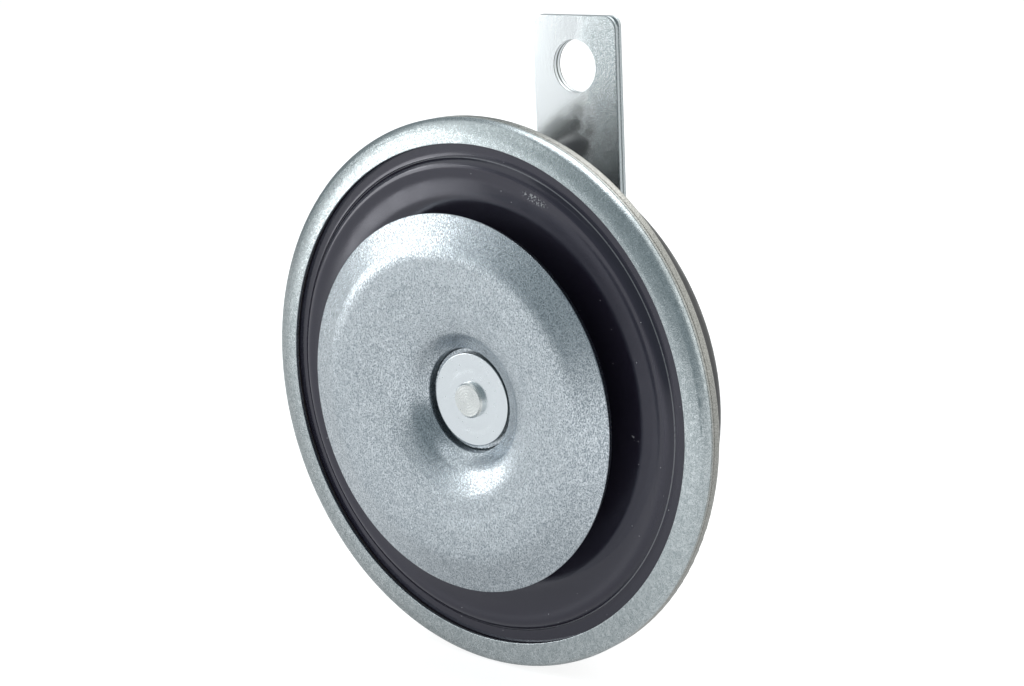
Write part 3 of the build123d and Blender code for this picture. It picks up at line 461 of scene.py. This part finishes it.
def thread_height(tree, pitch, centre_x, centre_z):
    """Height from 0 to 1 of a screw thread that runs along Y."""
    ends = {0: object_place(tree), 1: (centre_x, 0.0, centre_z)}
    from_centre = add(tree, "ShaderNodeVectorMath", ends, operation="SUBTRACT").outputs[0]
    angle = maths(tree, "ARCTAN2", axis_part(tree, from_centre, "Z"), axis_part(tree, from_centre, "X"))
    along = maths(tree, "DIVIDE", axis_part(tree, from_centre, "Y"), pitch)
    turns = maths(tree, "ADD", along, maths(tree, "DIVIDE", angle, 2 * math.pi))
    return maths(tree, "MULTIPLY", maths(tree, "PINGPONG", turns, 0.5), 2.0)


turned_iron, tree, shader = plain_finish("turned_iron", (0.76, 0.79, 0.79), 1.0, 0.22, 0.34, 1200.0)
rings = maths(tree, "SINE", maths(tree, "MULTIPLY", from_axis(tree), 2 * math.pi / TURNING_PITCH))
tree.links.new(bump(tree, rings, 0.012 * MM), shader.inputs["Normal"])
dress("armature", turned_iron)
core_iron, tree, shader = plain_finish("turned_iron_core", (0.76, 0.79, 0.79), 1.0, 0.22, 0.34, 1200.0)
place = object_place(tree)
stud_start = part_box("strap_front_leaf")[0].y
on_stud = fade(tree, axis_part(tree, place, "Y"), stud_start, stud_start + 0.1 * MM)
crests = maths(tree, "MULTIPLY", thread_height(tree, STUD_PITCH, AXIS_X, AXIS_Z), on_stud)
tree.links.new(bump(tree, crests, 0.5 * MM), shader.inputs["Normal"])
dress("pole_core", core_iron)

# ---- Housing pan ------------------------------------------------------------------------------------------
# Deep-drawn steel in a semi-gloss black paint. It holds the magnet and the breaker, and its flange is
# clamped in the ring.

black_paint, tree, shader = plain_finish("black_paint", (0.020, 0.020, 0.022), 0.0, 0.28, 0.42, 300.0)
place = object_place(tree)
peel = noise(tree, place, 900.0, 1.0)
tree.links.new(bump(tree, peel, 0.012 * MM), shader.inputs["Normal"])
dress("housing_pan", black_paint)

# ---- Gaskets ----------------------------------------------------------------------------------------------
# Rings of brown fibre paper on both sides of the diaphragm's margin. They are punched from flat stock and
# squeezed by the crimp.

fibre, tree, shader = plain_finish("gasket_fibre", (0.12, 0.10, 0.08), 0.0, 0.80, 0.95, 2500.0)
dress("front_gasket", fibre)
dress("rear_gasket", fibre)

# ---- Magnet -----------------------------------------------------------------------------------------------
# A black moulded bobbin wound with enamelled copper wire, and a steel yoke plate that carries the field to
# the pan. The bobbin sits over the core.

bobbin_low, bobbin_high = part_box("coil_bobbin")
WIRE_PITCH = 0.55 * MM

moulding, tree, shader = plain_finish("black_moulding", (0.03, 0.03, 0.03), 0.0, 0.42, 0.58, 1500.0)
dress("coil_bobbin", moulding)
copper, tree, shader = plain_finish("enamelled_copper", (0.62, 0.26, 0.12), 1.0, 0.22, 0.38, 1500.0)
bobbin_x = (bobbin_low.x + bobbin_high.x) / 2
bobbin_z = (bobbin_low.z + bobbin_high.z) / 2
turns = thread_height(tree, WIRE_PITCH, bobbin_x, bobbin_z)
tree.links.new(bump(tree, turns, 0.2 * MM), shader.inputs["Normal"])
dress("coil_winding", copper)
dress("yoke_plate", plain_steel)

# ---- Breaker ----------------------------------------------------------------------------------------------
# A stack of laminate insulators, a bronze leaf spring and steel brackets, riveted to the pan's floor. The
# spring carries the moving contact, and its free length bends where it leaves the stack.


def bending_copy(node, name, material):
    """A copy of a sheet piece in place of its rigid CAD node, baked in place with its own material."""
    piece = bpy.data.objects.new(name, cad[node].data.copy())
    bpy.context.scene.collection.objects.link(piece)
    piece.data.materials.clear()
    piece.data.materials.append(material)
    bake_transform(piece)
    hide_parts(node)
    return piece


laminate, tree, shader = plain_finish("brown_insulator", (0.22, 0.10, 0.04), 0.0, 0.48, 0.65, 1800.0)
for node in ("insulator_rear", "insulator_middle", "insulator_front", "contact_pusher"):
    dress(node, laminate)
for node in ("clamp_plate", "breaker_arm", "fixed_contact_bracket"):
    dress(node, plain_steel)
bronze, tree, shader = plain_finish("spring_bronze", (0.70, 0.50, 0.28), 1.0, 0.20, 0.32, 900.0)
bending_copy("breaker_spring", "bending_leaf", bronze)
dress("breaker_spring", bronze)
contact_metal, tree, shader = plain_finish("contact_metal", (0.45, 0.45, 0.45), 1.0, 0.25, 0.40, 1500.0)
dress("moving_contact", contact_metal)
dress("fixed_contact", contact_metal)
plated, tree, shader = plain_finish("bright_zinc", PLATE_COLOUR, 1.0, 0.20, 0.30, 900.0, detail=3.0)
dress("breaker_rivets", plated)
dress("arm_rivets", plated)

# ---- Adjusting screw --------------------------------------------------------------------------------------
# A plated steel screw in a plated bush, which sets the fixed contact from behind. Its thread is fine, and the
# bush sits in the pan's floor.

SCREW_PITCH = 0.7 * MM

screw_low, screw_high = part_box("adjusting_screw")
screw_finish, tree, shader = plain_finish("bright_zinc_screw", PLATE_COLOUR, 1.0, 0.22, 0.32, 900.0)
threads = thread_height(tree, SCREW_PITCH, (screw_low.x + screw_high.x) / 2, (screw_low.z + screw_high.z) / 2)
tree.links.new(bump(tree, threads, 0.25 * MM), shader.inputs["Normal"])
dress("adjusting_screw", screw_finish)
dress("adjuster_bush", plated)

# ---- Terminals --------------------------------------------------------------------------------------------
# Two blades stamped from tinned brass and riveted through a black moulded base, with a laminate plate inside
# the pan.

tinned, tree, shader = plain_finish("tinned_brass", (0.78, 0.76, 0.68), 1.0, 0.22, 0.36, 1200.0)
for node in ("blade_terminal_left", "blade_terminal_right", "terminal_rivet_left", "terminal_rivet_right"):
    dress(node, tinned)
dress("terminal_base", moulding)
dress("terminal_insulator", laminate)

# ---- Spark resistor and leads -----------------------------------------------------------------------------
# A fired ceramic body on bare tinned ends, across the contacts, and three wires in red sleeving from the
# coil and the spring to the terminals.

fired, tree, shader = plain_finish("resistor_body", (0.55, 0.48, 0.36), 0.0, 0.50, 0.70, 2500.0)
dress("spark_resistor", fired)
sleeve, tree, shader = plain_finish("wire_sleeve", (0.35, 0.03, 0.02), 0.0, 0.38, 0.52, 2000.0)
for node in ("lead_coil_terminal", "lead_coil_contact", "lead_spring_terminal"):
    dress(node, sleeve)

# ---- Strap ------------------------------------------------------------------------------------------------
# Two leaves of zinc-plated strip, riding close together. The plate is smooth along the left edge, faintly
# drawn lengthwise, and turns frosted and speckled toward the right.

STRAP_BRIGHT = (0.82, 0.86, 0.885)
STRAP_SPECK = (0.40, 0.46, 0.48)
# dark of the painted shade along the cut walls' edges
STRAP_EDGE_SHADE = (0.06, 0.07, 0.07)
STRAP_SMOOTH = 0.14           # roughness of the left side, of the right side and of the cut walls
STRAP_FROSTED = 0.27
STRAP_CUT = 0.42
FROST_START_X = -4.0 * MM
FROST_END_X = 6.5 * MM
FROST_WANDER = 3.0 * MM
STRAP_GRAIN_HEIGHT = 0.009 * MM

strap_finish, tree, shader = new_finish("strap_zinc", STRAP_BRIGHT, 1.0, 0.18)
spot = object_place(tree)
rolled = {0: spot, 1: (1.0, 1.0, 0.10)}
lengthwise = add(tree, "ShaderNodeVectorMath", rolled, operation="MULTIPLY").outputs[0]
lines = noise(tree, lengthwise, 2200.0, 2.0)
patch = noise(tree, spot, 170.0, 4.0)
pits = noise(tree, spot, 5400.0, 2.0, 0.6)
across = axis_part(tree, spot, "X")
wandering = maths(tree, "ADD", across, fade(tree, patch, 0.3, 0.7, -FROST_WANDER, FROST_WANDER))
side = fade(tree, wandering, FROST_START_X, FROST_END_X)
speck = fade(tree, pits, 0.42, 0.58)
face_roughness = fade(tree, side, 0.0, 1.0, STRAP_SMOOTH, STRAP_FROSTED)
facing = axis_part(tree, add(tree, "ShaderNodeNewGeometry").outputs["Normal"], "Y")
cut = fade(tree, maths(tree, "ABSOLUTE", facing), 0.4, 0.7, 1.0, 0.0)
# dark lines painted along the cut walls at the leaves' edges: painted shade of those edges and of the gap
# between the leaves
cut_edge_shade = 0.0
height = axis_part(tree, spot, "Y")
rear_leaf_low, rear_leaf_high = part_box("strap_rear_leaf")
for edge_y in (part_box("strap_front_leaf")[0].y, rear_leaf_low.y, rear_leaf_high.y):
    from_edge = maths(tree, "ABSOLUTE", maths(tree, "SUBTRACT", height, edge_y))
    cut_edge_shade = maths(tree, "MAXIMUM", cut_edge_shade, fade(tree, from_edge, 0.08 * MM, 0.26 * MM, 1.0, 0.0))
cut_edge_shade = maths(tree, "MULTIPLY", cut_edge_shade, cut)
cut_roughness = maths(tree, "MULTIPLY", cut, STRAP_CUT)
tree.links.new(maths(tree, "MAXIMUM", face_roughness, cut_roughness), shader.inputs["Roughness"])
relief = maths(tree, "ADD", maths(tree, "MULTIPLY", side, speck), maths(tree, "MULTIPLY", lines, 0.30))
tree.links.new(bump(tree, relief, STRAP_GRAIN_HEIGHT), shader.inputs["Normal"])
dulled = maths(tree, "MULTIPLY", side, fade(tree, pits, 0.42, 0.58, 1.0, 0.22))
face_colour = blend_colours(tree, dulled, STRAP_BRIGHT, STRAP_SPECK)
tree.links.new(blend_colours(tree, cut_edge_shade, face_colour, STRAP_EDGE_SHADE), shader.inputs["Base Color"])
dress("strap_front_leaf", strap_finish)
dress("strap_rear_leaf", strap_finish)

# ---- Strap's fasteners ------------------------------------------------------------------------------------
# A flat washer, a spring washer and a hexagon nut on the core's stud, all steel with a bright zinc plate.
# They clamp the strap.

for node in ("flat_washer", "spring_washer", "mounting_nut"):
    dress(node, plated)

# ---- Floor ------------------------------------------------------------------------------------------------
# A plain matt white sweep under the horn. It glows a little where it is seen directly, so that it stays pale
# and keeps only the horn's soft shadow.

FLOOR_SIZE = 12.0
FLOOR_GLOW = 0.32             # as the horn meets it
FLOOR_SEEN_GLOW = 0.48        # more of it where it is seen directly

bpy.ops.mesh.primitive_plane_add(size=FLOOR_SIZE, location=(0, 0, cad_low.z - 0.2 * MM))
floor = bpy.context.object
floor.name = "floor"
floor_finish, tree, shader = new_finish("white_sweep", (0.50, 0.50, 0.50), 0.0, 0.9)
seen = add(tree, "ShaderNodeLightPath").outputs["Is Camera Ray"]
strength = maths(tree, "ADD", maths(tree, "MULTIPLY", seen, FLOOR_SEEN_GLOW), FLOOR_GLOW)
glow = add(tree, "ShaderNodeEmission", {"Color": (1, 1, 1, 1), "Strength": strength})
both = add(tree, "ShaderNodeAddShader", {0: shader.outputs[0], 1: glow.outputs[0]})
output = next(n for n in tree.nodes if n.type == "OUTPUT_MATERIAL")
tree.links.new(both.outputs[0], output.inputs["Surface"])
floor.data.materials.append(floor_finish)

# ---- Light ------------------------------------------------------------------------------------------------
# A wide soft box high on the left, two cards that draw the highlights on the disc, panels behind and above
# for the ring, a lamp that brightens the floor in front, and a dim room.


def toward(azimuth, elevation):
    """Unit direction: azimuth 0 is straight in front of the horn (-Y), positive to the right."""
    a, e = math.radians(azimuth), math.radians(elevation)
    return Vector((math.sin(a) * math.cos(e), -math.cos(a) * math.cos(e), math.sin(e)))


def soft_box(
    name, place, width, height, brightness, shape="RECTANGLE", colour=(1, 1, 1), aim=None, spread=180.0
):
    """A lamp that faces the middle of the disc, or the place given as its aim."""
    lamp = bpy.data.lights.new(name, "AREA")
    lamp.shape = shape
    lamp.size, lamp.size_y = width, height
    lamp.energy = brightness * math.pi * width * height
    lamp.color = colour
    holder = bpy.data.objects.new(name, lamp)
    bpy.context.scene.collection.objects.link(holder)
    lamp.spread = math.radians(spread)
    target = aim or Vector((AXIS_X, ring_low.y, AXIS_Z))
    holder.location = place
    holder.rotation_euler = (target - place).to_track_quat("-Z", "Y").to_euler()
    holder.visible_camera = False


soft_box("left_box", toward(-60, 48) * 1.2, 1.40, 1.0, 0.5, "ELLIPSE", (1.0, 0.99, 0.965))
soft_box("behind", toward(160, 16) * 1.8, 3.4, 2.4, 0.75, colour=(1.0, 0.97, 0.92))
soft_box("front_card", toward(-52.458, 5.555) * 1.0124, 0.42, 0.50, 2.7, colour=(1.0, 0.99, 0.965))
soft_box("front_wall", toward(-44, 12) * 1.4, 1.0, 0.8, 0.20)
soft_box("upper_card", toward(-58.643, 21.967) * 1.0506, 0.20, 0.18, 3.2, colour=(1.0, 0.99, 0.965))
pool = Vector((0.05, -0.29, cad_low.z))
soft_box("floor_lamp", pool + Vector((0, 0, 0.35)), 0.22, 0.20, 1.3, aim=pool, spread=70.0)
soft_box("overhead", toward(-175, 60) * 1.3, 1.0, 0.9, 2.8)

world = bpy.data.worlds.new("studio")
bpy.context.scene.world = world
world.use_nodes = True
tree = world.node_tree
background = next(n for n in tree.nodes if n.type == "BACKGROUND")
seen = add(tree, "ShaderNodeLightPath").outputs["Is Camera Ray"]
tree.links.new(blend_colours(tree, seen, (0.27, 0.31, 0.325), (1.0, 1.0, 1.0)), background.inputs["Color"])

# ---- Camera -----------------------------------------------------------------------------------------------
# Right of the horn's front and a little above it, with a long lens. It looks level across the disc and is
# rolled slightly to one side.

CAMERA_PLACE = Vector((247.626, -311.655, 42.486)) * MM
CAMERA_AZIMUTH = 40.697
CAMERA_ELEVATION = 13.624
CAMERA_ROLL = -2.532
CAMERA_LENS = 73.07

camera = bpy.data.cameras.new("camera")
camera.sensor_width = 36.0
camera.lens = CAMERA_LENS
viewer = bpy.data.objects.new("camera", camera)
bpy.context.scene.collection.objects.link(viewer)
back = toward(CAMERA_AZIMUTH, CAMERA_ELEVATION)
right = (-back).cross(Vector((0, 0, 1))).normalized()
up = right.cross(-back)
roll = math.radians(CAMERA_ROLL)
tilted_right = math.cos(roll) * right + math.sin(roll) * up
tilted_up = math.cos(roll) * up - math.sin(roll) * right
turn = Matrix((tilted_right, tilted_up, back)).transposed().to_4x4()
viewer.matrix_world = Matrix.Translation(CAMERA_PLACE) @ turn
bpy.context.scene.camera = viewer
bpy.context.scene.view_settings.view_transform = "Standard"
